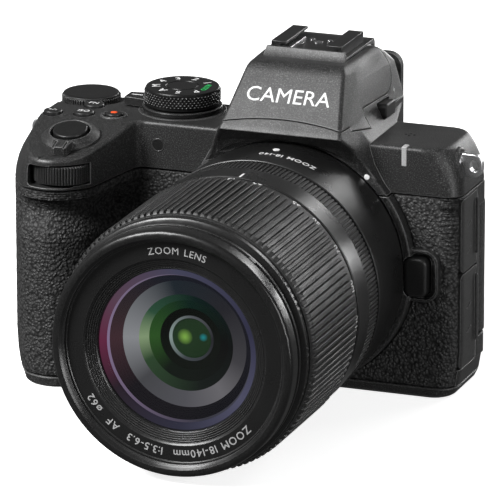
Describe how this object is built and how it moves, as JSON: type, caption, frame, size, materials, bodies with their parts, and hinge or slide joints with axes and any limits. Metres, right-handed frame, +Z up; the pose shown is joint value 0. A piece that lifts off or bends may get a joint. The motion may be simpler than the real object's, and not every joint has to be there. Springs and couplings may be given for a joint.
{
  "type": "interchangeable lens camera",
  "caption": "Interchangeable lens camera: grip body with finder hump, pop-up flash, swing-out monitor, dials, buttons and a zoom lens that extends.",
  "frame": {"origin": "on the base plane, straight under the lens axis, in the plane of the image sensor", "axes": "+X to the right seen from the front, +Y to the back (the lens points along -Y), +Z up"},
  "size_m": [0.1352, 0.1335, 0.0953],
  "materials": {
    "body_paint": "matt, fine speckle",
    "grip_leather": "pebbled, matt",
    "soft_rubber": "matt",
    "lens_shell": "fine satin",
    "lens_rubber": "ribbed, matt",
    "dark_metal": "satin black",
    "button_plastic": "satin",
    "steel": "satin",
    "chassis_alloy": "cast",
    "coated_glass": "coated, polished",
    "screen": "gloss",
    "circuit_board": "solder mask",
    "sensor": "polished",
    "cell_case": "satin"
  },
  "bodies": {
    "body": {"front_cover": "body_paint", "rear_cover": "body_paint", "top_cover": "body_paint", "base_plate": "body_paint", "grip_leather": "grip_leather", "front_leather": "grip_leather", "thumb_rest": "grip_leather", "chassis": "chassis_alloy", "mount_ring": "steel", "image_sensor": "sensor", "shutter_unit": "dark_metal", "main_board": "circuit_board", "battery": "cell_case", "memory_card": "cell_case", "tripod_bush": "steel", "hot_shoe": "steel", "eyecup": "soft_rubber", "eyepiece_lens": "coated_glass", "finder_display": "screen", "strap_lug_left": "steel", "strap_lug_right": "steel", "port_block": "dark_metal"},
    "lens": {"lens_mount_plate": "steel", "lens_barrel": "lens_shell", "rear_element": "coated_glass"},
    "control_ring": {"control_ring": "lens_rubber"},
    "zoom_ring": {"zoom_ring": "lens_rubber"},
    "middle_barrel": {"middle_barrel": "lens_shell"},
    "front_barrel": {"front_barrel": "lens_shell", "front_element": "coated_glass"},
    "zoom_group": {"zoom_group": "coated_glass"},
    "focus_group": {"focus_group": "coated_glass"},
    "flash": {"flash_hood": "body_paint", "flash_lamp": "coated_glass"},
    "monitor": {"monitor_hinge": "dark_metal", "monitor_shell": "body_paint", "monitor_glass": "screen"},
    "flash_button": {"flash_button": "button_plastic"},
    "battery_door": {"battery_door": "body_paint"},
    "port_cover_upper": {"port_cover_upper": "soft_rubber"},
    "port_cover_lower": {"port_cover_lower": "soft_rubber"},
    "shutter_button": {"shutter_button": "button_plastic"},
    "power_lever": {"power_lever": "dark_metal"},
    "front_dial": {"front_dial": "dark_metal"},
    "rear_dial": {"rear_dial": "dark_metal"},
    "mode_dial": {"mode_dial": "dark_metal"},
    "photo_video_lever": {"photo_video_lever": "dark_metal"},
    "exposure_button": {"exposure_button": "button_plastic"},
    "iso_button": {"iso_button": "button_plastic"},
    "record_button": {"record_button": "button_plastic"},
    "picture_button": {"picture_button": "button_plastic"},
    "lens_release": {"lens_release": "button_plastic"},
    "fn1_button": {"fn1_button": "button_plastic"},
    "fn2_button": {"fn2_button": "button_plastic"},
    "diopter_dial": {"diopter_dial": "dark_metal"},
    "multi_selector": {"multi_selector": "button_plastic"},
    "ok_button": {"ok_button": "button_plastic"},
    "menu_button": {"menu_button": "button_plastic"},
    "play_button": {"play_button": "button_plastic"},
    "ae_lock_button": {"ae_lock_button": "button_plastic"}
  },
  "joints": [
    {"name": "shutter_press", "type": "slide", "parent": "body", "child": "shutter_button", "axis": [0, 0.2214, -0.9752], "range_m": [0, 0.0008], "stiffness_N_per_m": 200},
    {"name": "exposure_press", "type": "slide", "parent": "body", "child": "exposure_button", "axis": [0, 0, -1], "range_m": [0, 0.0006], "stiffness_N_per_m": 200},
    {"name": "iso_press", "type": "slide", "parent": "body", "child": "iso_button", "axis": [0, 0, -1], "range_m": [0, 0.0006], "stiffness_N_per_m": 200},
    {"name": "record_press", "type": "slide", "parent": "body", "child": "record_button", "axis": [0, 0, -1], "range_m": [0, 0.0006], "stiffness_N_per_m": 200},
    {"name": "picture_press", "type": "slide", "parent": "body", "child": "picture_button", "axis": [0, 0, -1], "range_m": [0, 0.0006], "stiffness_N_per_m": 200},
    {"name": "lens_release_press", "type": "slide", "parent": "body", "child": "lens_release", "axis": [0, 1, 0], "range_m": [0, 0.0015], "stiffness_N_per_m": 300},
    {"name": "fn1_press", "type": "slide", "parent": "body", "child": "fn1_button", "axis": [0, 1, 0], "range_m": [0, 0.0005], "stiffness_N_per_m": 200},
    {"name": "fn2_press", "type": "slide", "parent": "body", "child": "fn2_button", "axis": [0, 1, 0], "range_m": [0, 0.0005], "stiffness_N_per_m": 200},
    {"name": "ok_press", "type": "slide", "parent": "body", "child": "ok_button", "axis": [0, -1, 0], "range_m": [0, 0.0005], "stiffness_N_per_m": 200},
    {"name": "menu_press", "type": "slide", "parent": "body", "child": "menu_button", "axis": [0, -1, 0], "range_m": [0, 0.0005], "stiffness_N_per_m": 200},
    {"name": "play_press", "type": "slide", "parent": "body", "child": "play_button", "axis": [0, -1, 0], "range_m": [0, 0.0005], "stiffness_N_per_m": 200},
    {"name": "ae_lock_press", "type": "slide", "parent": "body", "child": "ae_lock_button", "axis": [0, -1, 0], "range_m": [0, 0.0005], "stiffness_N_per_m": 200},
    {"name": "flash_button_press", "type": "slide", "parent": "body", "child": "flash_button", "axis": [-1, 0, 0], "range_m": [0, 0.0008], "stiffness_N_per_m": 200},
    {"name": "selector_rock", "type": "hinge", "parent": "body", "child": "multi_selector", "pos_m": [-0.057, 0.0118, 0.0275], "axis": [1, 0, 0], "range_deg": [-2.5, 2.5], "stiffness_Nm_per_rad": 0.05},
    {"name": "power_turn", "type": "hinge", "parent": "body", "child": "power_lever", "pos_m": [-0.0605, -0.0255, 0.06864], "axis": [0, -0.2214, 0.9752], "range_deg": [0, 32]},
    {"name": "front_dial_turn", "type": "hinge", "parent": "body", "child": "front_dial", "pos_m": [-0.061, -0.0304, 0.0616], "axis": [0, 0, 1], "continuous": true},
    {"name": "rear_dial_turn", "type": "hinge", "parent": "body", "child": "rear_dial", "pos_m": [-0.0679, 0.0081, 0.069], "axis": [0, 0, 1], "continuous": true},
    {"name": "mode_dial_turn", "type": "hinge", "parent": "body", "child": "mode_dial", "pos_m": [-0.0383, 0.003, 0.075], "axis": [0, 0, 1], "continuous": true},
    {"name": "photo_video_turn", "type": "hinge", "parent": "body", "child": "photo_video_lever", "pos_m": [-0.0383, 0.003, 0.0727], "axis": [0, 0, 1], "range_deg": [0, 22]},
    {"name": "diopter_turn", "type": "hinge", "parent": "body", "child": "diopter_dial", "pos_m": [-0.0213, 0.0188, 0.077], "axis": [-1, 0, 0], "range_deg": [-120, 120]},
    {"name": "flash_rise", "type": "hinge", "parent": "body", "child": "flash", "pos_m": [0, 0.0114, 0.0862], "axis": [-1, 0, 0], "range_deg": [0, 35]},
    {"name": "monitor_swing", "type": "hinge", "parent": "body", "child": "monitor", "pos_m": [0.0432, 0.0113, 0.0325], "axis": [0, 0, -1], "range_deg": [0, 175]},
    {"name": "battery_door_turn", "type": "hinge", "parent": "body", "child": "battery_door", "pos_m": [-0.0534, 0, 0.0012], "axis": [0, -1, 0], "range_deg": [0, 90]},
    {"name": "upper_cover_turn", "type": "hinge", "parent": "body", "child": "port_cover_upper", "pos_m": [0.0477, -0.0078, 0.0465], "axis": [0, 0, -1], "range_deg": [0, 100]},
    {"name": "lower_cover_turn", "type": "hinge", "parent": "body", "child": "port_cover_lower", "pos_m": [0.0477, -0.0078, 0.0218], "axis": [0, 0, -1], "range_deg": [0, 100]},
    {"name": "lens_twist", "type": "hinge", "parent": "body", "child": "lens", "pos_m": [0, 0, 0.0368], "axis": [0, -1, 0], "range_deg": [0, 60]},
    {"name": "control_ring_turn", "type": "hinge", "parent": "lens", "child": "control_ring", "pos_m": [0, 0, 0.0368], "axis": [0, -1, 0], "continuous": true},
    {"name": "zoom_ring_turn", "type": "hinge", "parent": "lens", "child": "zoom_ring", "pos_m": [0, 0, 0.0368], "axis": [0, -1, 0], "range_deg": [0, 91]},
    {"name": "middle_barrel_slide", "type": "slide", "parent": "lens", "child": "middle_barrel", "axis": [0, -1, 0], "range_m": [0, 0.019]},
    {"name": "front_barrel_slide", "type": "slide", "parent": "lens", "child": "front_barrel", "axis": [0, -1, 0], "range_m": [0, 0.038]},
    {"name": "zoom_group_slide", "type": "slide", "parent": "lens", "child": "zoom_group", "axis": [0, -1, 0], "range_m": [0, 0.022]},
    {"name": "focus_group_slide", "type": "slide", "parent": "lens", "child": "focus_group", "axis": [0, -1, 0], "range_m": [0, 0.006]}
  ],
  "couplings": [
    {"joint": "zoom_ring_turn", "follows": "front_barrel_slide", "rad_per_m": 41.79},
    {"joint": "middle_barrel_slide", "follows": "front_barrel_slide", "ratio": 0.5},
    {"joint": "zoom_group_slide", "follows": "front_barrel_slide", "ratio": 0.578}
  ]
}
